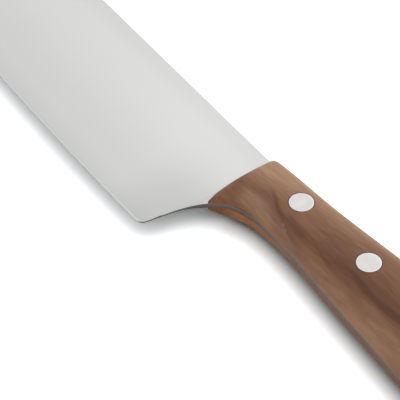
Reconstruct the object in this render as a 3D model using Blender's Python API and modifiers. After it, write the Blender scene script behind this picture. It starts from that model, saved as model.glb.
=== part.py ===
# Nakiri kitchen knife with a full tang, two wooden scales and three two-part rivets.
# It lies on its right side. X runs from the tip to the butt, Y from the edge to the spine, Z up.
# The origin is on the right scale's flat side, midway between the front and middle rivets.
from math import cos, pi, radians, sin, sqrt, tan

import bmesh
import bpy
import numpy as np
from mathutils import Vector
from mathutils.geometry import interpolate_bezier

# Clearance between pieces that touch on the real knife
FIT_GAP = 0.0003
MERGE_DISTANCE = 1e-7           # vertices closer than this are one

# Blade, heel to tip
BLADE_LENGTH = 0.170
BLADE_HEIGHT = 0.0503
SPINE_HEIGHT = 0.0064           # above the origin
EDGE_RADIUS = 1.8               # the cutting edge is a very flat arc
EDGE_LOW_POINT = 0.039          # its lowest point, ahead of the heel
HEEL_LEAD = 0.0046              # the heel stands this far ahead of the handle
HEEL_RADIUS = 0.003
TIP_TOP_RADIUS = 0.014
TIP_LOW_RADIUS = 0.005

# Choil, the concave run from the heel up to the handle
CHOIL_LEAN = radians(81.1)
CHOIL_HEEL_PULL = 0.0112
CHOIL_NECK_PULL = 0.0070
CHOIL_STEPS = 12

# Grind of the blade's two sides, and its sharpened edge
TANG_THICKNESS = 0.0018
GROUND_SPINE_THICKNESS = 0.0017
GROUND_EDGE_THICKNESS = 0.00044
TIP_THINNING = 0.0002
GRIND_LEAD = 0.0043             # the flat grind stops this far ahead of the handle
GRIND_WHEEL_RADIUS = 0.020
GRIND_STEPS = 16
GRIND_OVERRUN = 0.060           # the grinding blocks reach this far past the blade's length
SHARPENING_ANGLE = radians(13.0)
EDGE_FLAT = 0.0001

# Handle, front to butt
HANDLE_FRONT = -0.0388
HANDLE_LENGTH = 0.1169
SCALE_THICKNESS = 0.0068
SCALE_FRONT_THICKNESS = 0.0052
SCALE_FRONT_TAPER = 0.019
SCALE_WALL = 0.0005             # upright edge of a scale below its rounding

# Underside of the grip: distance behind the handle's front, and height
NECK = (0.0004, -0.0218)
NECK_ANGLE = radians(61.5)
GROOVE_FRONT = (0.0077, -0.0146)
GROOVE_TOP = (0.0180, -0.0126)
GRIP_BELLY = (0.0527, -0.0140)
# The last two are measured ahead of the butt
SWELL_BELLY = (0.034, -0.0158)
BEAK_HEIGHT = -0.0182
BEAK_ANGLE = radians(-5.7)

# Back of the grip, in the same way
BACK_ANGLE = radians(1.15)
BACK_FRONT = (0.0273, 0.0079)
BACK_MIDDLE = (0.0534, 0.0111)
BACK_CREST = (0.036, 0.0130)
BACK_END_HEIGHT = 0.0060
BACK_END_ANGLE = radians(-16.7)

# Butt
BUTT_POINT_HEIGHT = -0.0067
BUTT_BACK_ROUND = 0.016
BUTT_BELLY_ROUND = 0.010
BUTT_SIDE_ROUND = 0.007
BUTT_LAST_TURN = radians(85.0)   # the rounding ends in a small flat

# Rounding of the scales along the belly and along the back, at the front and further on
BELLY_ROUND_FRONT = 0.0036
BELLY_ROUND = 0.0074
BACK_ROUND_FRONT = 0.0034
BACK_ROUND = 0.0046
ROUND_RUN = 0.060
ROUND_LIMIT = 0.48              # most that one rounding takes of the scale's width

# Front end of the scales, whose wall sinks and whose rounding widens towards the belly
FRONT_BOW_RADIUS = 0.255
FRONT_BOW_CENTRE = -0.0042
FRONT_BOW_RUN = 0.020
FRONT_BOW_LIMIT = 0.9           # the arc stops at this share of its radius
FRONT_BOW_PASSES = 12           # rounds in which a point settles on the bowed line
FRONT_WALL_SHARE = 0.40
FRONT_SINK_WIDTH = 0.0144
FRONT_EDGE_ROUND = 0.0018
FRONT_SINK_ROUND = 0.0060
FRONT_BACK_CORNER = 0.0022
FRONT_BELLY_CORNER = 0.0006

# Rivets
RIVET_HEAD_DIAMETER = 0.0080
RIVET_HEAD_THICKNESS = 0.0020
RIVET_BARREL_DIAMETER = 0.0050
RIVET_PIN_DIAMETER = 0.0026
RIVET_SOCKET_FLOOR = 0.0010     # metal between the head's underside and the socket's end
RIVET_CHAMFER = 0.00015
FRONT_RIVET_INSET = 0.0227
REAR_RIVET_INSET = 0.0298
RIVET_ROW_TILT = radians(2.56)
RIVET_NAMES = ("front", "middle", "rear")

# How finely curves are cut
ROUND_STEPS = 32
GRIP_STATIONS = 30
FRONT_STATIONS = 8
BUTT_STATIONS = 9
BELLY_STEPS = 8
SIDE_STEPS = 4
BACK_STEPS = 6
CORNER_STEPS = 8
EDGE_STEPS = 16
SMOOTH_ANGLE = radians(35.0)
FLAT_ANGLE = radians(0.02)

# Worked out from the values above
MID_HEIGHT = SCALE_THICKNESS + FIT_GAP + TANG_THICKNESS / 2
TOP_HEIGHT = 2 * MID_HEIGHT
INNER_OFFSET = TANG_THICKNESS / 2 + FIT_GAP
BUTT = HANDLE_FRONT + HANDLE_LENGTH
HEEL = HANDLE_FRONT - HEEL_LEAD
TIP = HEEL - BLADE_LENGTH
EDGE_LOW = HEEL - EDGE_LOW_POINT
EDGE_LOW_HEIGHT = SPINE_HEIGHT - BLADE_HEIGHT


def clear_scene():
    for obj in list(bpy.data.objects):
        bpy.data.objects.remove(obj, do_unlink=True)


def new_collection(name):
    collection = bpy.data.collections.new(name)
    bpy.context.scene.collection.children.link(collection)
    return collection


def new_material(name, colour, roughness, metallic):
    material = bpy.data.materials.new(name)
    material.use_nodes = True
    shader = material.node_tree.nodes["Principled BSDF"]
    shader.inputs["Base Color"].default_value = (*colour, 1.0)
    shader.inputs["Roughness"].default_value = roughness
    shader.inputs["Metallic"].default_value = metallic
    return material


def new_object(name, data, collection, material=None):
    obj = bpy.data.objects.new(name, data)
    collection.objects.link(obj)
    if material:
        data.materials.append(material)
    if collection.name == "cutters":
        obj.hide_render = True
        obj.display_type = "WIRE"
    return obj


def smooth_curve(points, start_angle, end_angle):
    # Cubic spline through the points, with set directions at both ends
    x, y = np.array(points).T
    step = np.diff(x)
    rise = np.diff(y) / step
    count = len(x)
    matrix = np.zeros((count, count))
    target = np.zeros(count)
    matrix[0, 0] = matrix[-1, -1] = 1.0
    target[0], target[-1] = tan(start_angle), tan(end_angle)
    for i in range(1, count - 1):
        matrix[i, i - 1:i + 2] = step[i], 2 * (step[i - 1] + step[i]), step[i - 1]
        target[i] = 3 * (step[i] * rise[i - 1] + step[i - 1] * rise[i])
    slopes = np.linalg.solve(matrix, target)

    def height(at):
        if at <= x[0]:
            return y[0] + slopes[0] * (at - x[0])
        i = min(int(np.searchsorted(x, at)) - 1, count - 2)
        t = (at - x[i]) / step[i]
        bulge = t * (1 - t) * ((slopes[i] - rise[i]) * (1 - t) - (slopes[i + 1] - rise[i]) * t)
        return y[i] + step[i] * (rise[i] * t + bulge)

    return height


def from_front(point):
    return HANDLE_FRONT + point[0], point[1]


def from_butt(point):
    return BUTT - point[0], point[1]


belly_curve = smooth_curve(
    [from_front(NECK), from_front(GROOVE_FRONT), from_front(GROOVE_TOP), from_front(GRIP_BELLY),
     from_butt(SWELL_BELLY), (BUTT, BEAK_HEIGHT)],
    NECK_ANGLE, BEAK_ANGLE)
back_curve = smooth_curve(
    [(HANDLE_FRONT, SPINE_HEIGHT), from_front(BACK_FRONT), from_front(BACK_MIDDLE),
     from_butt(BACK_CREST), (BUTT, BACK_END_HEIGHT)],
    BACK_ANGLE, BACK_END_ANGLE)


def butt_fall(x, length):
    # One ahead of the butt's rounding, then a quarter ellipse down to nought at the butt
    t = max(0.0, 1 - (BUTT - x) / length)
    return sqrt(max(0.0, 1 - t * t))


def belly(x):
    drop = belly_curve(x) - BUTT_POINT_HEIGHT
    return BUTT_POINT_HEIGHT + drop * butt_fall(x, BUTT_BELLY_ROUND)


def back(x):
    rise = back_curve(x) - BUTT_POINT_HEIGHT
    return BUTT_POINT_HEIGHT + rise * butt_fall(x, BUTT_BACK_ROUND)


def bowed(behind, y):
    # The handle's front is an arc, and the arc fades out further back
    fade = max(0.0, 1 - behind / FRONT_BOW_RUN) ** 2
    reach = min(abs(y - FRONT_BOW_CENTRE), FRONT_BOW_LIMIT * FRONT_BOW_RADIUS)
    bow = FRONT_BOW_RADIUS - sqrt(FRONT_BOW_RADIUS ** 2 - reach ** 2)
    return HANDLE_FRONT + behind + bow * fade


def grip_point(behind, line):
    # Point of the belly or the back at one station behind the bowed front
    y = line(HANDLE_FRONT + behind)
    for _ in range(FRONT_BOW_PASSES):
        y = line(bowed(behind, y))
    return bowed(behind, y), y


def edge_height(x):
    return EDGE_LOW_HEIGHT + EDGE_RADIUS - sqrt(EDGE_RADIUS ** 2 - (x - EDGE_LOW) ** 2)


def grip_stations():
    turns = np.linspace(0, pi / 2, FRONT_STATIONS)
    front = [FRONT_SINK_ROUND * (1 - cos(turn)) for turn in turns]
    butt_start = HANDLE_LENGTH - BUTT_BACK_ROUND
    middle = np.linspace(FRONT_SINK_ROUND, butt_start, GRIP_STATIONS)[1:]
    falls = np.linspace(0, BUTT_LAST_TURN, BUTT_STATIONS)[1:]
    butt = [HANDLE_LENGTH - BUTT_BACK_ROUND * (1 - sin(fall)) for fall in falls]
    return [*front, *middle, *butt]


def arc(centre, radius, start, end, steps):
    return [(centre[0] + radius * cos(turn), centre[1] + radius * sin(turn))
            for turn in np.linspace(start, end, steps)]


def knife_outline():
    stations = grip_stations()
    back_line = [grip_point(behind, back) for behind in stations]
    belly_line = [grip_point(behind, belly) for behind in reversed(stations)]

    heel_centre_x = HEEL - HEEL_RADIUS
    heel_centre = (heel_centre_x, edge_height(heel_centre_x) + HEEL_RADIUS)
    heel = arc(heel_centre, HEEL_RADIUS, CHOIL_LEAN - pi / 2, -pi / 2, CORNER_STEPS)

    neck = Vector(belly_line[-1])
    neck_run = Vector((cos(NECK_ANGLE), sin(NECK_ANGLE))) * CHOIL_NECK_PULL
    choil_run = Vector((cos(CHOIL_LEAN), sin(CHOIL_LEAN))) * CHOIL_HEEL_PULL
    heel_top = Vector(heel[0])
    choil = interpolate_bezier(neck, neck - neck_run, heel_top + choil_run, heel_top, CHOIL_STEPS)

    low_centre_x = TIP + TIP_LOW_RADIUS
    low_centre = (low_centre_x, edge_height(low_centre_x) + TIP_LOW_RADIUS)
    edge = [(x, edge_height(x)) for x in np.linspace(heel_centre_x, low_centre_x, EDGE_STEPS)]
    low_corner = arc(low_centre, TIP_LOW_RADIUS, -pi / 2, -pi, CORNER_STEPS)
    top_centre = (TIP + TIP_TOP_RADIUS, SPINE_HEIGHT - TIP_TOP_RADIUS)
    top_corner = arc(top_centre, TIP_TOP_RADIUS, pi, pi / 2, CORNER_STEPS)

    choil_middle = [(point.x, point.y) for point in choil[1:-1]]
    return [*back_line, *belly_line, *choil_middle, *heel, *edge[1:-1], *low_corner, *top_corner]


def flat_plate(name, outline, thickness, height, collection, material):
    # A filled flat curve, extruded and then turned into a closed mesh
    curve = bpy.data.curves.new(name + "_outline", "CURVE")
    curve.dimensions = "2D"
    curve.fill_mode = "BOTH"
    curve.extrude = thickness / 2
    spline = curve.splines.new("POLY")
    spline.points.add(len(outline) - 1)
    for point, (x, y) in zip(spline.points, outline):
        point.co = (x, y, 0.0, 1.0)
    spline.use_cyclic_u = True
    drawn = new_object(name + "_outline", curve, collection)
    drawn.location.z = height
    bpy.context.view_layer.update()
    evaluated = drawn.evaluated_get(bpy.context.evaluated_depsgraph_get())
    mesh = bpy.data.meshes.new_from_object(evaluated)
    plate = bmesh.new()
    plate.from_mesh(mesh)
    bmesh.ops.remove_doubles(plate, verts=plate.verts, dist=MERGE_DISTANCE)
    plate.to_mesh(mesh)
    plate.free()
    obj = new_object(name, mesh, collection, material)
    obj.matrix_world = drawn.matrix_world
    bpy.data.objects.remove(drawn)
    return obj


def loft(name, rings, collection, material=None):
    # Skin rings of equal length, and close each end across from one side to the other
    skin = bmesh.new()
    rows = [[skin.verts.new(point) for point in ring] for ring in rings]
    count = len(rings[0])
    for row, following in zip(rows, rows[1:]):
        for j in range(count):
            k = (j + 1) % count
            skin.faces.new((row[j], row[k], following[k], following[j]))
    for row in (rows[0], rows[-1]):
        for j in range(count // 2 - 1):
            skin.faces.new((row[j], row[j + 1], row[count - 2 - j], row[count - 1 - j]))
    bmesh.ops.recalc_face_normals(skin, faces=skin.faces)
    mesh = bpy.data.meshes.new(name)
    skin.to_mesh(mesh)
    skin.free()
    return new_object(name, mesh, collection, material)


def turned(name, profile, x, y, collection, material=None):
    # A profile of radius and height, spun round the upright axis
    mesh = bpy.data.meshes.new(name)
    points = [(radius, 0.0, height) for radius, height in profile]
    mesh.from_pydata(points, [(i, i + 1) for i in range(len(points) - 1)], [])
    obj = new_object(name, mesh, collection, material)
    obj.location = (x, y, 0.0)
    spin = obj.modifiers.new("spin", "SCREW")
    spin.steps = ROUND_STEPS
    spin.render_steps = ROUND_STEPS
    spin.use_merge_vertices = True
    spin.merge_threshold = MERGE_DISTANCE
    return obj


def cut(obj, cutter):
    boolean = obj.modifiers.new("cut_" + cutter.name, "BOOLEAN")
    boolean.operation = "DIFFERENCE"
    boolean.solver = "EXACT"
    boolean.object = cutter


def grind_cutter(side, collection):
    # A block whose face is the ground side of the blade; its rear edge has the wheel's radius
    name = "grind_left" if side > 0 else "grind_right"
    length = BLADE_LENGTH + GRIND_OVERRUN
    width = 2 * BLADE_HEIGHT
    depth = 2 * GRIND_WHEEL_RADIUS
    block = bmesh.new()
    bmesh.ops.create_cube(block, size=1.0)
    bmesh.ops.scale(block, verts=block.verts, vec=(length, width, depth))
    # The corner at the spine end of the handle is the pivot of the tilt
    bmesh.ops.translate(block, verts=block.verts, vec=(-length / 2, 0.0, depth / 2))
    rear = [edge for edge in block.edges
            if all(vert.co.x > -MERGE_DISTANCE and vert.co.z < MERGE_DISTANCE for vert in edge.verts)]
    bmesh.ops.bevel(block, geom=rear, offset=GRIND_WHEEL_RADIUS, segments=GRIND_STEPS,
                    profile=0.5, affect="EDGES", clamp_overlap=True)
    mesh = bpy.data.meshes.new(name)
    if side < 0:
        bmesh.ops.scale(block, verts=block.verts, vec=(1.0, 1.0, -1.0))
        bmesh.ops.reverse_faces(block, faces=block.faces)
    block.to_mesh(mesh)
    block.free()
    obj = new_object(name, mesh, collection)
    fall = (GROUND_SPINE_THICKNESS - GROUND_EDGE_THICKNESS) / 2 / BLADE_HEIGHT
    thinning = TIP_THINNING / 2 / BLADE_LENGTH
    obj.rotation_euler = (side * np.arctan(fall), -side * np.arctan(thinning), 0.0)
    # The block's face starts the wheel's radius ahead of its rear end
    stop = HANDLE_FRONT - GRIND_LEAD
    obj.location = (stop + GRIND_WHEEL_RADIUS, SPINE_HEIGHT,
                    MID_HEIGHT + side * (GROUND_SPINE_THICKNESS / 2 + thinning * GRIND_WHEEL_RADIUS))
    return obj


def bevel_cutter(side, collection):
    # A wedge that follows the edge and sharpens one side of it
    name = "sharpen_left" if side > 0 else "sharpen_right"
    reach = 2 * GROUND_EDGE_THICKNESS / tan(SHARPENING_ANGLE)
    margin = GROUND_EDGE_THICKNESS
    roof = TANG_THICKNESS
    rings = []
    for x in np.linspace(HEEL + HEEL_RADIUS, TIP - TIP_LOW_RADIUS, EDGE_STEPS + 2):
        edge = edge_height(x)
        ring = []
        for y, rise in ((edge - margin, None), (edge + reach, None),
                        (edge + reach, roof), (edge - margin, roof)):
            if rise is None:
                rise = EDGE_FLAT / 2 + (y - edge) * tan(SHARPENING_ANGLE)
            ring.append((x, y, MID_HEIGHT + side * rise))
        rings.append(ring)
    return loft(name, rings, collection)


def make_blade(collection, cutters, bores, material):
    blade = flat_plate("blade", knife_outline(), TANG_THICKNESS, MID_HEIGHT, collection, material)
    for side in (1, -1):
        cut(blade, grind_cutter(side, cutters))
        cut(blade, bevel_cutter(side, cutters))
    for bore in bores:
        cut(blade, bore)
    return blade


def grow(behind, run, start, end):
    # Ease from the start value at the handle's front to the end value after the run
    t = min(1.0, behind / run)
    return end + (start - end) * (1 - t) ** 2


def quarter_rise(distance, length):
    # Quarter circle from nought at the start to one after the length
    t = 1 - min(1.0, distance / length)
    return sqrt(1 - t * t)


def scale_section(behind, y_belly, y_back, dome):
    # Outer surface across the handle, from the belly's wall to the back's wall
    width = y_back - y_belly
    belly_round = min(grow(behind, ROUND_RUN, BELLY_ROUND_FRONT, BELLY_ROUND), ROUND_LIMIT * width)
    back_round = min(grow(behind, ROUND_RUN, BACK_ROUND_FRONT, BACK_ROUND), ROUND_LIMIT * width)
    section = []
    for turn in np.linspace(0, pi / 2, BELLY_STEPS):
        rise = dome - min(belly_round, dome) * (1 - sin(turn))
        section.append((y_belly + belly_round * (1 - cos(turn)), SCALE_WALL + rise))
    for y in np.linspace(y_belly + belly_round, y_back - back_round, SIDE_STEPS)[1:-1]:
        section.append((y, SCALE_WALL + dome))
    for turn in np.linspace(pi / 2, 0, BACK_STEPS):
        rise = dome - min(back_round, dome) * (1 - sin(turn))
        section.append((y_back - back_round * (1 - cos(turn)), SCALE_WALL + rise))
    return section


def scale_ring(behind, side):
    x_belly, y_belly = grip_point(behind, belly)
    y_back = grip_point(behind, back)[1]
    y_belly += FRONT_BELLY_CORNER * (1 - quarter_rise(behind, FRONT_BELLY_CORNER))
    y_back -= FRONT_BACK_CORNER * (1 - quarter_rise(behind, FRONT_BACK_CORNER))
    thickness = grow(behind, SCALE_FRONT_TAPER, SCALE_FRONT_THICKNESS, SCALE_THICKNESS)
    dome = (thickness - SCALE_WALL) * butt_fall(x_belly, BUTT_SIDE_ROUND)
    section = scale_section(behind, y_belly, y_back, dome)

    def place(y, rise):
        return bowed(behind, y), y, MID_HEIGHT + side * (INNER_OFFSET + rise)

    outside = []
    for y, rise in section:
        raised = sin(pi / 2 * min(1.0, (y - y_belly) / FRONT_SINK_WIDTH))
        wall = FRONT_WALL_SHARE * raised
        reach = FRONT_SINK_ROUND + (FRONT_EDGE_ROUND - FRONT_SINK_ROUND) * raised
        share = wall + (1 - wall) * quarter_rise(behind, reach)
        outside.append(place(y, max(rise * share, SCALE_WALL)))
    inside = [place(y, 0.0) for y, rise in reversed(section)]
    return outside + inside


def make_scale(name, side, collection, bores, material):
    rings = [scale_ring(behind, side) for behind in grip_stations()]
    scale = loft(name, rings, collection, material)
    join_flats(scale.data)
    for bore in bores:
        cut(scale, bore)
    scale.data.shade_smooth()
    scale.data.set_sharp_from_angle(angle=SMOOTH_ANGLE)
    return scale


def join_flats(mesh):
    # One face where many lie level side by side, as on a scale's inner side
    flat = bmesh.new()
    flat.from_mesh(mesh)
    level = [edge for edge in flat.edges
             if all(abs(face.normal.z) > cos(FLAT_ANGLE) for face in edge.link_faces)]
    verts = list({vert for edge in level for vert in edge.verts})
    bmesh.ops.dissolve_limit(flat, angle_limit=FLAT_ANGLE, verts=verts, edges=level)
    flat.to_mesh(mesh)
    flat.free()


def make_socket(name, x, y, collection, material):
    # The rivet's upper half: a head on a hollow barrel
    head = RIVET_HEAD_DIAMETER / 2
    barrel = RIVET_BARREL_DIAMETER / 2
    bore = RIVET_PIN_DIAMETER / 2 + FIT_GAP
    under_head = TOP_HEIGHT - RIVET_HEAD_THICKNESS
    mouth = RIVET_HEAD_THICKNESS + FIT_GAP
    end = under_head - RIVET_SOCKET_FLOOR
    profile = [(0.0, TOP_HEIGHT), (head - RIVET_CHAMFER, TOP_HEIGHT), (head, TOP_HEIGHT - RIVET_CHAMFER),
               (head, under_head), (barrel, under_head), (barrel, mouth), (bore, mouth),
               (bore, end), (0.0, end)]
    return turned(name, profile, x, y, collection, material)


def make_pin(name, x, y, collection, material):
    # The rivet's lower half: a head on a solid pin that is pressed into the barrel
    head = RIVET_HEAD_DIAMETER / 2
    pin = RIVET_PIN_DIAMETER / 2
    tip = TOP_HEIGHT - RIVET_HEAD_THICKNESS - RIVET_SOCKET_FLOOR - FIT_GAP
    profile = [(0.0, tip), (pin - RIVET_CHAMFER, tip), (pin, tip - RIVET_CHAMFER),
               (pin, RIVET_HEAD_THICKNESS), (head, RIVET_HEAD_THICKNESS), (head, RIVET_CHAMFER),
               (head - RIVET_CHAMFER, 0.0), (0.0, 0.0)]
    return turned(name, profile, x, y, collection, material)


def bore_cutter(name, x, y, collection):
    # The stepped hole through both scales and the tang
    head = RIVET_HEAD_DIAMETER / 2 + FIT_GAP
    barrel = RIVET_BARREL_DIAMETER / 2 + FIT_GAP
    seat = RIVET_HEAD_THICKNESS + FIT_GAP
    beyond = RIVET_HEAD_THICKNESS
    profile = [(0.0, TOP_HEIGHT + beyond), (head, TOP_HEIGHT + beyond), (head, TOP_HEIGHT - seat),
               (barrel, TOP_HEIGHT - seat), (barrel, seat), (head, seat),
               (head, -beyond), (0.0, -beyond)]
    return turned(name, profile, x, y, collection)


def rivet_places():
    # A straight row from the front rivet to the rear one, through the origin
    front = HANDLE_FRONT + FRONT_RIVET_INSET
    rear = BUTT - REAR_RIVET_INSET
    return [(x, x * tan(RIVET_ROW_TILT)) for x in np.linspace(front, rear, len(RIVET_NAMES))]


def main():
    clear_scene()
    knife = new_collection("nakiri_knife")
    cutters = new_collection("cutters")
    steel = new_material("satin_steel", (0.66, 0.66, 0.65), 0.34, 1.0)
    left_wood = new_material("left_scale_wood", (0.24, 0.13, 0.082), 0.45, 0.0)
    right_wood = new_material("right_scale_wood", (0.21, 0.105, 0.06), 0.45, 0.0)
    rivet_metal = new_material("rivet_aluminium", (0.75, 0.73, 0.72), 0.30, 1.0)

    places = rivet_places()
    bores = [bore_cutter("bore_" + name, x, y, cutters) for name, (x, y) in zip(RIVET_NAMES, places)]
    make_blade(knife, cutters, bores, steel)
    make_scale("scale_left", 1, knife, bores, left_wood)
    make_scale("scale_right", -1, knife, bores, right_wood)
    for name, (x, y) in zip(RIVET_NAMES, places):
        make_socket("rivet_" + name + "_socket", x, y, knife, rivet_metal)
        make_pin("rivet_" + name + "_pin", x, y, knife, rivet_metal)


main()
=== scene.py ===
import math
import bmesh
import bpy
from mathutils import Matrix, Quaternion, Vector


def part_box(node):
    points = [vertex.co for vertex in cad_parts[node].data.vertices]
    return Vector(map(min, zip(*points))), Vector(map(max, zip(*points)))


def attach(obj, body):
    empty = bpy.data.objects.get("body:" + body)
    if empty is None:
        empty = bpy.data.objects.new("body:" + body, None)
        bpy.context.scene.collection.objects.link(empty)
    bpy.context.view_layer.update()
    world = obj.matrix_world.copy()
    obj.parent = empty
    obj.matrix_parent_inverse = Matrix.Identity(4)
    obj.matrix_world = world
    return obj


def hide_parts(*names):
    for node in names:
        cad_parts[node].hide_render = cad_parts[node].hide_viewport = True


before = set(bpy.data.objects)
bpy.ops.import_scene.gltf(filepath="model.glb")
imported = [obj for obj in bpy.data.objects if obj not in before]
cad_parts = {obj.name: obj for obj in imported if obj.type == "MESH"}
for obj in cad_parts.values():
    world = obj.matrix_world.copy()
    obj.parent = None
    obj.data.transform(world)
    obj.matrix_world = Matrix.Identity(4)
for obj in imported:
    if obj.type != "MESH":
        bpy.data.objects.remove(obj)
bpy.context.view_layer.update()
print("Frame loaded with", len(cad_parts), "nodes")

mm = 0.001
midHeight = 8.0                 # mm, the middle of the blade's thickness above the floor
topHeight = 16.0                # mm, the upper scale's flat side

# Node arithmetic: a Wire is what comes out of a socket, and Python's signs add the Math nodes


class Wire:
    def __init__(self, nodes, socket):
        self.nodes = nodes
        self.socket = socket

    def maths(self, operation, first, second):
        return self.nodes.node("Math", {"operation": operation}, {0: first, 1: second})

    def __add__(self, other):
        return self.maths("ADD", self, other)

    def __sub__(self, other):
        return self.maths("SUBTRACT", self, other)

    def __rsub__(self, other):
        return self.maths("SUBTRACT", other, self)

    def __mul__(self, other):
        return self.maths("MULTIPLY", self, other)

    def __truediv__(self, other):
        return self.maths("DIVIDE", self, other)

    def __rtruediv__(self, other):
        return self.maths("DIVIDE", other, self)

    __radd__ = __add__
    __rmul__ = __mul__


class Nodes:
    def __init__(self, tree):
        self.tree = tree

    def feed(self, socket, value):
        if isinstance(value, Wire):
            self.tree.links.new(value.socket, socket)
        elif isinstance(value, tuple) and len(value) == 3 and len(socket.default_value) == 4:
            socket.default_value = (*value, 1.0)
        else:
            socket.default_value = value

    def node(self, kind, settings=None, inputs=None, out=0):
        made = self.tree.nodes.new("ShaderNode" + kind)
        for key, value in (settings or {}).items():
            if key == "stops":
                self.setStops(made.color_ramp, value)
            elif key == "points":
                self.setPoints(made.mapping, value)
            else:
                setattr(made, key, value)
        for key, value in (inputs or {}).items():
            self.feed(made.inputs[key], value)
        return Wire(self, made.outputs[out])

    def setStops(self, ramp, stops):
        for place, _ in stops[2:]:
            ramp.elements.new(place)
        for element, (place, colour) in zip(ramp.elements, stops):
            element.position = place
            element.color = (*colour, 1.0)

    def setPoints(self, mapping, points):
        mapping.use_clip = False
        mapping.extend = "HORIZONTAL"
        line = mapping.curves[0]
        line.points[0].location = points[0]
        line.points[1].location = points[-1]
        for place, height in points[1:-1]:
            line.points.new(place, height)
        mapping.update()

    def place(self, scale=(1.0, 1.0, 1.0), shift=(0.0, 0.0, 0.0)):
        here = self.node("TexCoord", out="Object")
        return self.node("Mapping", {}, {"Vector": here, "Scale": scale, "Location": shift})

    def axes(self, vector):
        split = self.node("SeparateXYZ", {}, {"Vector": vector})
        outputs = split.socket.node.outputs
        return [Wire(self, outputs[axis]) for axis in "XYZ"]

    def millimetres(self):
        return self.axes(self.place(scale=(1 / mm, 1 / mm, 1 / mm)))

    def point(self, x, y, z):
        return self.node("CombineXYZ", {}, {"X": x, "Y": y, "Z": z})

    def noise(self, vector, scale=1.0, detail=3.0, roughness=0.5):
        return self.node("TexNoise", {}, {"Vector": vector, "Scale": scale, "Detail": detail,
                                          "Roughness": roughness})

    def between(self, value, low, high, toLow=0.0, toHigh=1.0):
        return self.node("MapRange", {"interpolation_type": "SMOOTHSTEP"},
                         {"Value": value, "From Min": low, "From Max": high,
                          "To Min": toLow, "To Max": toHigh})

    def larger(self, first, second):
        return self.node("Math", {"operation": "MAXIMUM"}, {0: first, 1: second})

    def mix(self, amount, first, second, how="MIX"):
        return self.node("Mix", {"data_type": "RGBA", "blend_type": how},
                         {"Factor": amount, 6: first, 7: second}, out=2)

    def shaded(self, colour, shade):
        return self.mix(1.0, colour, self.point(shade, shade, shade), "MULTIPLY")


class Finish(Nodes):
    def __init__(self, name, **surface):
        self.material = bpy.data.materials.new(name)
        self.material.use_nodes = True
        super().__init__(self.material.node_tree)
        self.shader = self.tree.nodes["Principled BSDF"]
        self.surface(surface)

    def surface(self, values):
        for socket, value in values.items():
            self.feed(self.shader.inputs[socket], value)

    def bump(self, height, depth, strength=1.0):
        self.surface({"Normal": self.node("Bump", {}, {"Height": height, "Distance": depth * mm,
                                                       "Strength": strength})})


# Steel: the ground sides with painted reflection shading, the sharpened bevels and the rim with
# painted shade

steelLook = {
    "tone": (0.655, 0.655, 0.65),
    "dullTone": (0.625, 0.625, 0.62),
    "cloudShare": 0.6,          # of the change between the two tones; the lines have the rest
    "cloudScale": 38.0,         # per metre
    "paintedEdgeShade": 0.93,          # painted shade at the cutting edge, where the reflection falls off
    "paintedLowShade": 0.955,          # painted shade above it
    "paintedHighShade": 1.04,          # painted reflection, brighter below the spine
    "paintedSpineShade": 0.99,
    "edgeBand": (-46.0, -34.0), # mm across the blade, where each painted shade turns into the next
    "middleBand": (-34.0, -6.0),
    "spineBand": (-3.0, 5.0),
    "paintedHeelShade": 0.13,          # painted shade: how much darker the heel is
    "heelRun": (-68.0, -44.0),  # mm along the blade, where this begins and is full
    "heelRise": (-28.0, -4.0),  # mm across it, where this fades
    "heelLeft": 0.2,            # share of it left at the spine
    "grindLine": 0.16,          # mm between grinding lines, which run from spine to edge
    "grindStretch": 14.0,       # changes per metre along a line
    "grindDepth": 0.0006,       # mm
    "roughness": 0.29,
    "lineRoughness": 0.06,      # how much the lines and the clouds add
    "cloudRoughness": 0.04,
}

bevelLook = {
    "tone": (0.60, 0.60, 0.60),
    "dullTone": (0.625, 0.625, 0.62),
    "scratchScale": (9000.0, 900.0, 900.0),     # per metre
    "scratchDepth": 0.0005,     # mm
    "roughness": 0.22,
    "scratchRoughness": 0.08,
}

# Painted shade: the rim's narrow faces are painted far darker than the sides, for the shade and
# the floor's shadow mirrored in them
rimLook = {
    "metallic": 0.85,
    "choilTone": (0.068, 0.066, 0.062),         # ahead of the handle, painted dark for shade and mirrored shadow
    "tangTone": (0.100, 0.077, 0.065),          # between the scales, painted dark for shade and mirrored shadow
    "tangStart": (-41.0, -37.0),                # mm, where the first tone turns into the second
    "paintedLowShade": 0.84,           # painted shade at the lower arris
    "paintedHighShade": 1.14,          # and painted highlight at the upper one
    "halfThickness": 0.8,       # mm
    "baseShade": 0.75,
    "cloudScale": 150.0,
    "cloudShade": 0.35,
    "grainScale": 2200.0,
    "grainShade": 0.15,
    "grainDepth": 0.004,        # mm
    "roughness": 0.42,
    "grainRoughness": 0.10,
}


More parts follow.
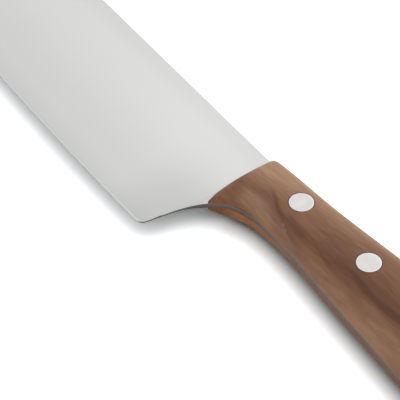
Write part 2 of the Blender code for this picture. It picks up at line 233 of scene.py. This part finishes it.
def groundSteel(name, look):
    steel = Finish(name, Metallic=1.0)
    x, y, _ = steel.millimetres()
    across, along = 1 / (look["grindLine"] * mm), look["grindStretch"]
    lines = steel.noise(steel.place(scale=(across, along, along)), detail=2.0)
    cloud = steel.noise(steel.place(), scale=look["cloudScale"])
    # Painted reflection: the tone is shaded darker towards the cutting edge and the heel,
    # brighter below the spine and a little less at the spine itself
    shade = steel.between(y, *look["edgeBand"], look["paintedEdgeShade"], 1.0)
    shade = shade * steel.between(y, *look["middleBand"], look["paintedLowShade"], look["paintedHighShade"])
    spine = look["paintedSpineShade"] / look["paintedHighShade"]
    shade = shade * steel.between(y, *look["spineBand"], 1.0, spine)
    heel = steel.between(x, *look["heelRun"])
    heel = heel * steel.between(y, *look["heelRise"], 1.0, look["heelLeft"])
    shade = shade * (1 - heel * look["paintedHeelShade"])
    share = look["cloudShare"]
    tone = steel.mix(cloud * share + lines * (1 - share), look["dullTone"], look["tone"])
    roughness = look["roughness"] + lines * look["lineRoughness"] + cloud * look["cloudRoughness"]
    steel.surface({"Base Color": steel.shaded(tone, shade), "Roughness": roughness})
    steel.bump(lines, look["grindDepth"])
    return steel.material


def sharpenedSteel(name, look):
    steel = Finish(name, Metallic=1.0)
    scratch = steel.noise(steel.place(scale=look["scratchScale"]), detail=2.0)
    steel.surface({"Base Color": steel.mix(scratch, look["dullTone"], look["tone"]),
                   "Roughness": look["roughness"] + scratch * look["scratchRoughness"]})
    steel.bump(scratch, look["scratchDepth"])
    return steel.material


def rimSteel(name, look):
    steel = Finish(name, Metallic=look["metallic"])
    x, _, z = steel.millimetres()
    grain = steel.noise(steel.place(), scale=look["grainScale"])
    cloud = steel.noise(steel.place(), scale=look["cloudScale"])
    low, high = midHeight - look["halfThickness"], midHeight + look["halfThickness"]
    shade = look["baseShade"] + cloud * look["cloudShade"] + grain * look["grainShade"]
    # Painted light: lighter towards the upper arris and darker towards the lower one
    shade = shade * steel.between(z, low, high, look["paintedLowShade"], look["paintedHighShade"])
    tone = steel.mix(steel.between(x, *look["tangStart"]), look["choilTone"], look["tangTone"])
    steel.surface({"Base Color": steel.shaded(tone, shade),
                   "Roughness": look["roughness"] + grain * look["grainRoughness"]})
    steel.bump(grain, look["grainDepth"])
    return steel.material


# Rivet metal, brushed across when the heads were ground flush

rivetLook = {
    "tone": (0.675, 0.66, 0.652),
    "dullTone": (0.60, 0.585, 0.577),
    "paintedRimHighlight": 1.16,           # painted highlight: how much brighter the rounded rim is painted
    "cloudShare": 0.6,          # of the change between the two tones; the scratches have the rest
    "cloudScale": 260.0,        # per metre
    "toneRange": (0.35, 0.65),  # noise at which the metal is all dull and all bright
    "scratchScale": (60.0, 2600.0, 60.0),
    "scratchDepth": 0.0008,     # mm
    "roughness": 0.30,
    "scratchRoughness": 0.10,
}


def rivetMetal(name, look, bright):
    metal = Finish(name, Metallic=1.0)
    scratch = metal.noise(metal.place(scale=look["scratchScale"]))
    cloud = metal.noise(metal.place(), scale=look["cloudScale"], detail=2.0)
    share = look["cloudShare"]
    amount = metal.between(cloud * share + scratch * (1 - share), *look["toneRange"])
    tone = metal.mix(amount, look["dullTone"], look["tone"])
    metal.surface({"Base Color": metal.shaded(tone, bright),
                   "Roughness": look["roughness"] + scratch * look["scratchRoughness"]})
    metal.bump(scratch, look["scratchDepth"])
    return metal.material


# Wood: soft pale and dark streaks along the handle. A course runs through points in mm, and a
# streak fades above and below it and at its ends

leftLook = {
    "side": 1,                  # 1 for the upper scale and -1 for the lower one
    "seed": 3.1,                # another number gives other grain
    "stops": [                  # from pale to dark
        (0.00, (0.400, 0.240, 0.145)),
        (0.20, (0.300, 0.166, 0.100)),
        (0.40, (0.220, 0.108, 0.060)),
        (0.66, (0.150, 0.063, 0.031)),
        (1.00, (0.090, 0.033, 0.014)),
    ],
    "ground": 0.444,            # tone between the streaks, from 0 (palest) to 1 (darkest)
    "grainSize": (10.0, 1.0),   # mm along and across the grain
    "grainTone": 0.42,
    "fibreSize": (16.0, 0.30),  # mm
    "fibreTone": 0.20,
    "fibreDepth": 0.012,        # mm
    "fibreRelief": 0.5,         # share of that depth which shows
    "roughness": 0.41,
    "fibreRoughness": 0.14,
    "sheen": 0.22,
    "rippleScale": (70.0, 220.0, 220.0),        # per metre, the streaks' unevenness
    "rippleSize": 1.4,          # mm
    "lean": 0.2,                # how much the streaks rise with depth
    "heart": [                  # mm, the grain is level here and bends away above and below
        (-36, -9.6), (-25, -8.4), (-15, -8.8), (-4, -8.6), (8, -7.2), (20, -6.4), (32, -6.8),
        (50, -6.0), (78, -3.0),
    ],
    "backRun": (-40.0, 45.0),   # mm along the handle, between which the back rises
    "backRise": (5.0, 13.0),    # mm, from and to these heights
    "belly": -17.0,             # mm
    "upperLines": 14.0,         # grain lines from the heart to the back
    "lowerLines": 8.0,          # and to the belly
    "grainLean": 0.3,           # how much the grain changes with depth
    "edgeDepth": (3.5, 5.5),    # mm below the flat side, where the belly begins to look warmer
    "edgeTint": (1.0, 0.84, 0.62),
    "edgeRise": (-12.0, -9.0),  # mm, where the warmer look ends
    "paintedSheenTint": (0.98, 1.01, 1.16),            # a greyer band, mostly painted sheen along the belly's rounding and partly the wood's own
    "paintedSheen": {
        "course": [(-35, -12.2), (-29.5, -10.6), (-23, -10.2), (-17, -11.0), (-8, -12.8),
                   (0, -13.4)],
        "above": 1.8, "below": 2.4, "start": (-33, -25), "end": (-6, 8), "tone": 1.0,
    },
    "streaks": {
        "backGlow": {
            "course": [(-40, 5.0), (-20, 6.4), (0, 6.8), (20, 11.2), (40, 11.1), (78, 9.0)],
            "above": 5.0, "below": 6.8, "tone": -0.29,
        },
        "frontGlow": {
            "course": [(-40, -1.2), (-25, 0.7), (-10, 2.2), (5, -0.3)],
            "above": 8.6, "below": 8.4, "end": (-37, 6), "tone": -0.33,
        },
        "bellyGlow": {
            "course": [(-40, -13.1), (-25, -12.2), (-10, -16.2), (5, -17.0), (40, -15.7)],
            "above": 3.9, "below": 8.4, "end": (27, 60), "tone": -0.21,
        },
        "core": {
            "course": [(-16, -8.4), (-6, -8.8), (4, -8.1), (12, -7.7), (22, -6.9), (32, -6.7),
                       (42, -6.4), (78, -4.0)],
            "above": 11.9, "below": 4.6, "start": (-18, 18), "tone": 0.385,
        },
        "coreLine": {
            "course": [(8, -6.9), (16, -6.0), (21, -6.5), (27, -7.0), (31, -7.0), (38, -6.3),
                       (78, -3.4)],
            "above": 1.6, "below": 2.1, "start": (4, 24), "end": (32, 60), "tone": 0.27,
        },
        "vein": {
            "course": [(-27, -4.8), (-24, -5.7), (-18.4, -8.3), (-14.7, -9.4), (-11.3, -10.5),
                       (-8.8, -11.3), (-4.7, -12.2), (0, -13.2), (8, -14.3)],
            "above": 1.7, "below": 1.0, "start": (-29, -22), "end": (-20, 5), "tone": 0.22,
        },
        "frontBand": {
            "course": [(-38, -10.6), (-30, -9.7), (-25, -7.8), (-19, -8.1), (-12, -9.7)],
            "above": 3.1, "below": 2.2, "end": (-19, -11), "tone": 0.16,
        },
        "frontCorner": {
            "course": [(-40, -12.1), (-28, -12.7)],
            "above": 3.6, "below": 7.7, "end": (-35, -29), "tone": 0.35,
        },
        "frontBelly": {
            "course": [(-34, -12.8), (-28, -11.8), (-22, -11.4), (-16, -12.4)],
            "above": 1.6, "below": 2.2, "start": (-31, -26), "end": (-20, -12), "tone": -0.07,
        },
        "swirl": {
            "course": [(-6, -4.4), (-3, -3.2), (3.7, -0.4), (11.2, 1.9)],
            "above": 0.9, "below": 1.3, "start": (-6, 0), "end": (8, 14), "tone": 0.10,
        },
        "patch": {
            "course": [(-13, -8.0), (-9, -8.7), (-4, -8.8), (0, -8.6)],
            "above": 2.7, "below": 2.0, "start": (-17, -11), "end": (-7, 0), "tone": 0.32,
        },
        "underLine": {
            "course": [(-4, -6.9), (-2.6, -7.4), (3.7, -8.9), (9.5, -10.1), (16.2, -10.6),
                       (24, -10.5)],
            "above": 1.4, "below": 0.7, "start": (-8, -2), "end": (19, 28), "tone": 0.11,
        },
        "rearGlow": {
            "course": [(-4, -11.0), (4, -11.5), (15, -13.1), (40, -12.7)],
            "above": 2.0, "below": 2.5, "start": (-7, 1), "tone": -0.08,
        },
        "rearBelly": {
            "course": [(5, -16.4), (20, -16.0), (40, -15.8)],
            "above": 1.8, "below": 3.0, "start": (12, 28), "tone": -0.10,
        },
        "frontStreak": {
            "course": [(-36, -1.8), (-30, -0.4), (-22, 0.2)],
            "above": 1.6, "below": 1.5, "end": (-26, -18), "tone": -0.07,
        },
        "fleckGlow": {
            "course": [(-13.5, -11.2), (-11.2, -11.5), (-8.5, -12.3)],
            "above": 0.8, "below": 1.1, "start": (-13, -12), "end": (-10, -7), "tone": -0.08,
        },
        "firstFleck": {
            "course": [(-14, -10.2), (-11, -10.7)],
            "above": 0.45, "below": 0.45, "start": (-13.7, -12.8), "end": (-12.6, -11.6),
            "tone": -0.30,
        },
        "secondFleck": {
            "course": [(-12, -10.9), (-9, -11.6)],
            "above": 0.35, "below": 0.40, "start": (-11.7, -11.0), "end": (-10.8, -10.0),
            "tone": -0.22,
        },
    },
}

rightLook = {
    **leftLook,
    "side": -1,
    "seed": 7.7,
    "ground": 0.56,
    "edgeDepth": (1.5, 4.0),
    "edgeTint": (1.0, 0.74, 0.48),
    "streaks": {
        "backGlow": {
            "course": [(-40, 4.0), (0, 6.0), (40, 10.0), (78, 8.0)],
            "above": 6.0, "below": 7.0, "tone": -0.24,
        },
        "bellyGlow": {
            "course": [(-40, -16.0), (-20, -15.0), (0, -16.0)],
            "above": 5.0, "below": 9.0, "start": (-39, -31), "end": (-18, 8), "tone": -0.38,
        },
        "core": {
            "course": [(-36, -5.0), (-10, -3.0), (15, -4.5), (50, -3.0), (78, -1.0)],
            "above": 3.5, "below": 5.0, "start": (-30, 10), "tone": 0.26,
        },
        "frontVein": {
            "course": [(-40, -2.0), (-20, -1.0), (0, 1.5), (25, 2.0)],
            "above": 1.2, "below": 1.6, "end": (5, 25), "tone": 0.14,
        },
    },
}


def curveAt(wood, x, points):
    return wood.node("FloatCurve", {"points": points}, {"Value": x})


def streak(wood, x, y, shape):
    off = y - curveAt(wood, x, shape["course"])
    part = wood.between(off, -shape["below"], 0.0)
    part = part * wood.between(off, 0.0, shape["above"], 1.0, 0.0)
    if "start" in shape:
        part = part * wood.between(x, *shape["start"])
    if "end" in shape:
        part = part * wood.between(x, *shape["end"], 1.0, 0.0)
    return part * shape["tone"]


def grainNoise(wood, x, height, depth, look):
    # The grain's lines follow the heart, and lie closer where the back or the belly is near
    heart = curveAt(wood, x, look["heart"])
    back = wood.between(x, *look["backRun"], *look["backRise"])
    rise = wood.larger(0.0, height - heart) / (back - heart)
    fall = wood.larger(0.0, heart - height) / (heart - look["belly"])
    along, across = look["grainSize"]
    lines = (rise * look["upperLines"] - fall * look["lowerLines"]) * (1 / across)
    place = wood.point(x * (1 / along) + look["seed"], lines, depth * look["grainLean"])
    return wood.noise(place, detail=4.0, roughness=0.55)


def figuredWood(name, look):
    wood = Finish(name)
    x, y, z = wood.millimetres()
    depth = (topHeight - z) if look["side"] > 0 else z
    shift = (look["seed"], 0.0, 0.0)
    # A noise is 0.5 on average, so that is taken off where it should change the tone both ways
    ripple = wood.noise(wood.place(scale=look["rippleScale"], shift=shift)) - 0.5
    height = y + ripple * look["rippleSize"] - depth * look["lean"]
    tone = look["ground"]
    for shape in look["streaks"].values():
        tone = tone + streak(wood, x, height, shape)
    grain = grainNoise(wood, x, height, depth, look)
    along, across = (1 / (size * mm) for size in look["fibreSize"])
    fibre = wood.noise(wood.place(scale=(along, across, across), shift=shift))
    tone = tone + (grain - 0.5) * look["grainTone"] + (fibre - 0.5) * look["fibreTone"]
    tint = wood.node("ValToRGB", {"stops": look["stops"]}, {"Fac": tone})
    white = (1.0, 1.0, 1.0)
    # Painted sheen: a greyer band along the belly's rounding, partly the wood's own tone
    paintedSheen = wood.mix(streak(wood, x, height, look["paintedSheen"]), white, look["paintedSheenTint"])
    tint = wood.mix(1.0, tint, paintedSheen, "MULTIPLY")
    edge = wood.between(depth, *look["edgeDepth"]) * wood.between(y, *look["edgeRise"], 1.0, 0.0)
    wood.surface({"Base Color": wood.mix(edge, tint, look["edgeTint"], "MULTIPLY"),
                  "Roughness": look["roughness"] + fibre * look["fibreRoughness"],
                  "Specular IOR Level": look["sheen"]})
    wood.bump(fibre, look["fibreDepth"], look["fibreRelief"])
    return wood.material


satinSteel = groundSteel("satinSteel", steelLook)
sharpSteel = sharpenedSteel("sharpSteel", bevelLook)
paintedShadeRim = rimSteel("paintedShadeRim", rimLook)
rivetAluminium = rivetMetal("rivetAluminium", rivetLook, 1.0)
rivetRim = rivetMetal("rivetRim", rivetLook, rivetLook["paintedRimHighlight"])
leftWood = figuredWood("leftWood", leftLook)
rightWood = figuredWood("rightWood", rightLook)
print("Finishes made")

# Hand tools

weldDistance = 0.001            # mm
flatAngle = 0.1                 # degrees; triangles that turn less than this become one face


def choose(piece):
    if bpy.context.mode != "OBJECT":
        bpy.ops.object.mode_set(mode="OBJECT")
    bpy.ops.object.select_all(action="DESELECT")
    piece.select_set(True)
    bpy.context.view_layer.objects.active = piece


def editing(piece):
    choose(piece)
    bpy.ops.object.mode_set(mode="EDIT")


def pick(piece, kind, wanted):
    # Selects the vertices, edges or faces of the piece in edit mode that pass the test
    bpy.ops.mesh.select_mode(type=kind)
    bpy.ops.mesh.select_all(action="DESELECT")
    shape = bmesh.from_edit_mesh(piece.data)
    elements = {"VERT": shape.verts, "EDGE": shape.edges, "FACE": shape.faces}[kind]
    for element in elements:
        if wanted(element):
            element.select_set(True)
    bmesh.update_edit_mesh(piece.data)


def closeHoles():
    bpy.ops.mesh.select_all(action="SELECT")
    bpy.ops.mesh.fill_holes(sides=0)
    bpy.ops.mesh.select_all(action="SELECT")


def applyAll(piece):
    choose(piece)
    for modifier in list(piece.modifiers):
        bpy.ops.object.modifier_apply(modifier=modifier.name)


def mergedCopy(node, name):
    # A copy of a CAD solid whose loose triangles become whole faces again
    piece = bpy.data.objects.new(name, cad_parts[node].data.copy())
    bpy.context.scene.collection.objects.link(piece)
    piece.data.name = name
    piece.data.materials.clear()
    editing(piece)
    bpy.ops.mesh.select_all(action="SELECT")
    bpy.ops.mesh.remove_doubles(threshold=weldDistance * mm)
    bpy.ops.mesh.dissolve_limited(angle_limit=math.radians(flatAngle))
    bpy.ops.mesh.tris_convert_to_quads()
    bpy.ops.mesh.select_all(action="DESELECT")
    return piece


def turnPiece(name, x, y, rings, sides):
    # A round disc drawn out ring by ring; each ring is a radius and a height in mm
    radius, height = rings[0]
    bpy.ops.mesh.primitive_circle_add(vertices=sides, radius=radius * mm, fill_type="NGON",
                                      location=(x, y, height * mm))
    piece = bpy.context.active_object
    piece.name = name
    editing(piece)
    bpy.ops.mesh.select_all(action="SELECT")
    for nextRadius, nextHeight in rings[1:]:
        rise = (nextHeight - height) * mm
        bpy.ops.mesh.extrude_region_move(TRANSFORM_OT_translate={"value": (0.0, 0.0, rise)})
        grow = nextRadius / radius
        bpy.ops.transform.resize(value=(grow, grow, 1.0), center_override=(x, y, nextHeight * mm))
        radius, height = nextRadius, nextHeight
    bpy.ops.mesh.select_all(action="SELECT")
    bpy.ops.mesh.normals_make_consistent(inside=False)
    choose(piece)
    bpy.ops.object.transform_apply(location=True)
    return piece


# Blade

bladeShape = {
    "spineRound": 0.22,         # mm, arris of the spine
    "choilRound": 0.18,         # mm, arris of the choil, where a finger rests
    "roundSteps": 3,
    "handleFront": -38.8,       # mm; no arris behind this is rounded
    "spineZone": -8.0,          # mm; the spine's arrises are above this height
    "edgeZone": -38.0,          # mm; and below this one they stay crisp
    "cornerAngle": 50.0,        # degrees; a sharper edge than this is an arris
    "rimLean": 0.5,             # a face that lies less flat than this, with 1 for level, is rim
    "bevelLean": (0.95, 0.985), # one between these, near the cutting edge, is sharpened
    "smoothAngle": 8.0,         # degrees
}


def makeBlade(shape):
    blade = mergedCopy("blade", "bladeAndTang")
    front = shape["handleFront"] * mm
    spineZone, edgeZone = shape["spineZone"] * mm, shape["edgeZone"] * mm
    corner = math.radians(shape["cornerAngle"])

    def arris(edge, low, high):
        ahead = all(vert.co.x < front and low < vert.co.y < high for vert in edge.verts)
        return ahead and len(edge.link_faces) == 2 and edge.calc_face_angle(0.0) > corner

    def roundOff(width):
        bpy.ops.mesh.bevel(offset=width * mm, segments=shape["roundSteps"], affect="EDGES")

    pick(blade, "EDGE", lambda edge: arris(edge, spineZone, math.inf))
    roundOff(shape["spineRound"])
    pick(blade, "EDGE", lambda edge: arris(edge, edgeZone, spineZone))
    roundOff(shape["choilRound"])
    choose(blade)
    finishes = (satinSteel, sharpSteel, paintedShadeRim)
    for material in finishes:
        blade.data.materials.append(material)
    steepest, flattest = shape["bevelLean"]
    for face in blade.data.polygons:
        lying = abs(face.normal.z)
        if lying < shape["rimLean"]:
            face.material_index = finishes.index(paintedShadeRim)
        elif steepest < lying < flattest and face.center.y < edgeZone:
            face.material_index = finishes.index(sharpSteel)
    bpy.ops.object.shade_smooth_by_angle(angle=math.radians(shape["smoothAngle"]))
    return blade


# Scales, with stepped bores for the rivets

scaleShape = {
    "innerHeight": 0.92,        # mm from the middle of the tang to the wood
    "cadInner": 1.2,            # mm, the same in the solid
    "cadReach": 0.01,           # mm; a point nearer to the solid's inner side than this is on it
    "boreClear": 0.20,          # mm round a rivet's head
    "boreReach": 0.1,           # mm beyond the solid's bores, within which their faces are found
    "toolReach": 1.0,           # mm of the boring tool above the wood
    "closedAngle": 0.05,        # degrees; over a closed bore, faces that turn less become one
    "flatArea": 40.0,           # square mm; a level face larger than this is one of the two flats
    "flatRise": 0.001,          # mm; and a face that rises less than this is level
    "creaseAngle": 20.0,        # degrees; a sharper edge than this keeps its line
    "tip": (-37.0, -19.6),      # mm; ahead of and below this, at the front tip, every edge does
    "smoothAngle": 35.0,        # degrees
}

rivetShape = {
    "head": 4.0,                # mm, as all lengths here; this and the next three are radii
    "barrel": 2.5,
    "socket": 1.6,
    "pin": 1.3,
    "headThickness": 2.0,
    "socketFloor": 1.0,
    "fitGap": 0.3,
    "crown": 0.03,              # how far the rim is rounded below the head's face
    "rimWidth": 0.34,
    "rimDepth": 0.1,            # a face nearer to the head's face than this
    "rimLean": 0.9995,          # that lies less flat than this, with 1 for level, is rim
    "pinTaper": 0.2,            # at the pin's end
    "softWidth": 0.06,          # of the small rounding on every corner
    "softSteps": 2,
    "cornerAngle": 50.0,        # degrees
    "smoothAngle": 30.0,        # degrees
    "sides": 64,
}


def rivetCentres():
    centres = {}
    for place in ("front", "middle", "rear"):
        low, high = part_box("rivet_" + place + "_socket")
        centres[place] = ((low[0] + high[0]) / 2, (low[1] + high[1]) / 2)
    return centres


def boreScale(scale, side, shape, rivet):
    # The stepped holes are cut with round tools that are a little wider than the rivets
    head = rivet["head"] + shape["boreClear"]
    barrel = rivet["barrel"] + shape["boreClear"]
    seat = topHeight - (rivet["headThickness"] + rivet["fitGap"])
    rings = [(head, topHeight + shape["toolReach"]), (head, seat), (barrel, seat),
             (barrel, midHeight)]
    if side < 0:
        rings = [(radius, 2 * midHeight - height) for radius, height in rings]
    for x, y in rivetCentres().values():
        tool = turnPiece("boreTool", x, y, rings, rivet["sides"])
        bore = scale.modifiers.new("bore", "BOOLEAN")
        bore.solver = "EXACT"
        bore.object = tool
        applyAll(scale)
        bpy.data.objects.remove(tool)


def makeScale(node, name, side, material, shape, rivet):
    scale = mergedCopy(node, name)
    inner = (midHeight + side * shape["cadInner"]) * mm
    centres = [Vector(centre) for centre in rivetCentres().values()]
    boreRadius = (rivet["head"] + rivet["fitGap"] + shape["boreReach"]) * mm

    # The old holes are taken out and closed
    def inBore(face):
        return all(any((vert.co.xy - centre).length < boreRadius for centre in centres)
                   for vert in face.verts)

    pick(scale, "FACE", inBore)
    bpy.ops.mesh.delete(type="FACE")
    closeHoles()
    bpy.ops.mesh.dissolve_limited(angle_limit=math.radians(shape["closedAngle"]))

    # The inner side comes up to the tang, and both flats are opened while the rest is made finer
    pick(scale, "VERT", lambda vert: abs(vert.co.z - inner) < shape["cadReach"] * mm)
    step = side * (shape["innerHeight"] - shape["cadInner"]) * mm
    bpy.ops.transform.translate(value=(0.0, 0.0, step))

    def flat(face):
        heights = [vert.co.z for vert in face.verts]
        level = max(heights) - min(heights) < shape["flatRise"] * mm
        return level and face.calc_area() > shape["flatArea"] * mm * mm

    pick(scale, "FACE", flat)
    shown = bmesh.from_edit_mesh(scale.data)
    print(name, "flats opened:", sum(face.select for face in shown.faces), "of", len(shown.faces))
    bpy.ops.mesh.delete(type="FACE")
    crease = math.radians(shape["creaseAngle"])
    tipX, tipY = shape["tip"]

    def keepsLine(edge):
        atTip = all(vert.co.x < tipX * mm and vert.co.y < tipY * mm for vert in edge.verts)
        return len(edge.link_faces) == 2 and (atTip or edge.calc_face_angle(0.0) > crease)

    pick(scale, "EDGE", keepsLine)
    bpy.ops.transform.edge_crease(value=1.0)
    choose(scale)
    finer = scale.modifiers.new("finer", "SUBSURF")
    finer.levels = 1
    finer.render_levels = 1
    finer.boundary_smooth = "PRESERVE_CORNERS"
    applyAll(scale)
    editing(scale)
    closeHoles()
    bpy.ops.mesh.normals_make_consistent(inside=False)
    bpy.ops.mesh.quads_convert_to_tris()    # the finer quads bend, which upsets the cut
    choose(scale)
    boreScale(scale, side, shape, rivet)
    scale.data.materials.clear()
    scale.data.materials.append(material)
    choose(scale)
    bpy.ops.object.shade_smooth_by_angle(angle=math.radians(shape["smoothAngle"]))
    weighted = scale.modifiers.new("weighted", "WEIGHTED_NORMAL")
    weighted.keep_sharp = True
    applyAll(scale)
    return scale


# Rivets: a head with a hollow barrel above, and a head with a pin below


def makeSocket(name, x, y, shape):
    head, barrel, socket = shape["head"], shape["barrel"], shape["socket"]
    under = topHeight - shape["headThickness"]
    mouth = shape["headThickness"] + shape["fitGap"]
    rings = [(head - shape["rimWidth"], topHeight), (head, topHeight - shape["crown"]),
             (head, under), (barrel, under), (barrel, mouth), (socket, mouth),
             (socket, under - shape["socketFloor"])]
    return finishRivet(turnPiece(name, x, y, rings, shape["sides"]), shape)


def makePin(name, x, y, shape):
    head, pin, taper = shape["head"], shape["pin"], shape["pinTaper"]
    end = topHeight - shape["headThickness"] - shape["socketFloor"] - shape["fitGap"]
    rings = [(head - shape["rimWidth"], 0.0), (head, shape["crown"]),
             (head, shape["headThickness"]), (pin, shape["headThickness"]), (pin, end - taper),
             (pin - taper, end)]
    return finishRivet(turnPiece(name, x, y, rings, shape["sides"]), shape)


def finishRivet(rivet, shape):
    soften = rivet.modifiers.new("soften", "BEVEL")
    soften.width = shape["softWidth"] * mm
    soften.segments = shape["softSteps"]
    soften.limit_method = "ANGLE"
    soften.angle_limit = math.radians(shape["cornerAngle"])
    applyAll(rivet)
    finishes = (rivetAluminium, rivetRim)
    for material in finishes:
        rivet.data.materials.append(material)
    # The faces round the head's rim take the copy with the painted highlight
    for face in rivet.data.polygons:
        depth = min(face.center.z, topHeight * mm - face.center.z)
        if depth < shape["rimDepth"] * mm and abs(face.normal.z) < shape["rimLean"]:
            face.material_index = finishes.index(rivetRim)
    bpy.ops.object.shade_smooth_by_angle(angle=math.radians(shape["smoothAngle"]))
    return rivet


# The knife is put together

blade = makeBlade(bladeShape)
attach(blade, "root")
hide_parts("blade")
print("Blade made,", len(blade.data.polygons), "faces")

scales = (
    ("scale_left", "leftScale", leftLook["side"], leftWood),
    ("scale_right", "rightScale", rightLook["side"], rightWood),
)
for node, name, side, material in scales:
    scale = makeScale(node, name, side, material, scaleShape, rivetShape)
    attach(scale, "root")
    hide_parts(node)
    print(name, "made,", len(scale.data.polygons), "faces")

for place, (x, y) in rivetCentres().items():
    for half, make in (("socket", makeSocket), ("pin", makePin)):
        rivet = make(place + "Rivet" + half.capitalize(), x, y, rivetShape)
        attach(rivet, "root")
        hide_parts("rivet_" + place + "_" + half)
print("Rivets made")

# Floor, light and camera

studio = {
    "floorSize": 6.0,           # metres
    "floorDrop": 0.05,          # mm, from the knife down to the floor
    "floorRoughness": 0.9,
    "floorTone": (0.55, 0.55, 0.55),
    "floorShown": (1.775, 1.81, 1.825),     # its tone to the camera, white beside the shadow
    "paintedShadowReach": 8.5,        # mm; painted contact shadow: nearer to a piece than this the floor is darker to the camera
    "contactSamples": 16,
    "roomLight": 0.70,          # from the sides
    "boxLight": 1.25,           # from the softbox overhead
    "boxEdge": 0.50,            # height in the sky, up to 1, where the softbox begins
    "boxCore": 0.85,            # and where it is fully bright
    "keyPower": 0.6,            # watts
    "keySize": 0.9,             # metres
    "keyPlace": (-0.45, 0.75, 0.70),
}


def seenRay(nodes):
    # One where the camera sees a surface or the sky, by itself or mirrored in the metal
    outputs = nodes.node("LightPath").socket.node.outputs
    kinds = ("Is Camera Ray", "Is Glossy Ray", "Is Transmission Ray", "Diffuse Depth")
    camera, glossy, through, bounces = [Wire(nodes, outputs[kind]) for kind in kinds]
    direct = nodes.node("Math", {"operation": "LESS_THAN"}, {0: bounces, 1: 1.0})
    return (camera + glossy + through) * direct


def makeFloor(setup):
    bpy.ops.object.select_all(action="DESELECT")
    bpy.ops.mesh.primitive_plane_add(size=setup["floorSize"],
                                     location=(0.0, 0.0, -setup["floorDrop"] * mm))
    floor = bpy.context.active_object
    floor.name = "floor"
    bpy.ops.object.transform_apply(location=True)
    paper = Finish("paper", Roughness=setup["floorRoughness"])
    # Painted contact shadow: ambient occlusion darkens the floor's tone to the camera near the
    # pieces
    shown = paper.node("AmbientOcclusion", {"samples": setup["contactSamples"]},
                       {"Color": setup["floorShown"], "Distance": setup["paintedShadowReach"] * mm})
    paper.surface({"Base Color": paper.mix(seenRay(paper), setup["floorTone"], shown)})
    floor.data.materials.append(paper.material)


def makeSky(setup):
    world = bpy.data.worlds.new("softbox")
    bpy.context.scene.world = world
    world.use_nodes = True
    sky = Nodes(world.node_tree)
    _, _, height = sky.axes(sky.node("TexCoord", out="Generated"))
    light = sky.between(height, setup["boxEdge"], setup["boxCore"], setup["roomLight"],
                        setup["boxLight"])
    background = sky.tree.nodes["Background"]
    sky.feed(background.inputs["Color"], (1.0, 1.0, 1.0))
    sky.feed(background.inputs["Strength"], sky.between(seenRay(sky), 0.0, 1.0, light, 1.0))


def makeKey(setup):
    bpy.ops.object.light_add(type="AREA", location=setup["keyPlace"])
    lamp = bpy.context.active_object
    lamp.name = "key"
    lamp.data.shape = "DISK"
    lamp.data.size = setup["keySize"]
    lamp.data.energy = setup["keyPower"]
    lamp.rotation_euler = (-Vector(setup["keyPlace"])).to_track_quat("-Z", "Y").to_euler()


cameraSetup = {
    "place": (0.35009, -0.30117, 0.50886),      # metres
    "target": (-0.041444, -0.021736, 0.008),
    "roll": 0.2545,             # degrees
    "lens": 195.93,             # mm
    "sensor": 36.0,             # mm
    "clip": (0.01, 20.0),       # metres, the nearest and the farthest that it sees
}


def makeCamera(setup):
    data = bpy.data.cameras.new("photoCamera")
    data.sensor_width = setup["sensor"]
    data.lens = setup["lens"]
    data.clip_start, data.clip_end = setup["clip"]
    camera = bpy.data.objects.new("photoCamera", data)
    bpy.context.scene.collection.objects.link(camera)
    aim = Vector(setup["target"]) - Vector(setup["place"])
    roll = Quaternion(aim.normalized(), -math.radians(setup["roll"]))
    camera.location = setup["place"]
    camera.rotation_mode = "QUATERNION"
    camera.rotation_quaternion = roll @ aim.to_track_quat("-Z", "Y")
    bpy.context.scene.camera = camera


makeFloor(studio)
makeSky(studio)
makeKey(studio)
makeCamera(cameraSetup)
bpy.context.scene.view_settings.view_transform = "Standard"
print("Floor, light and camera placed")
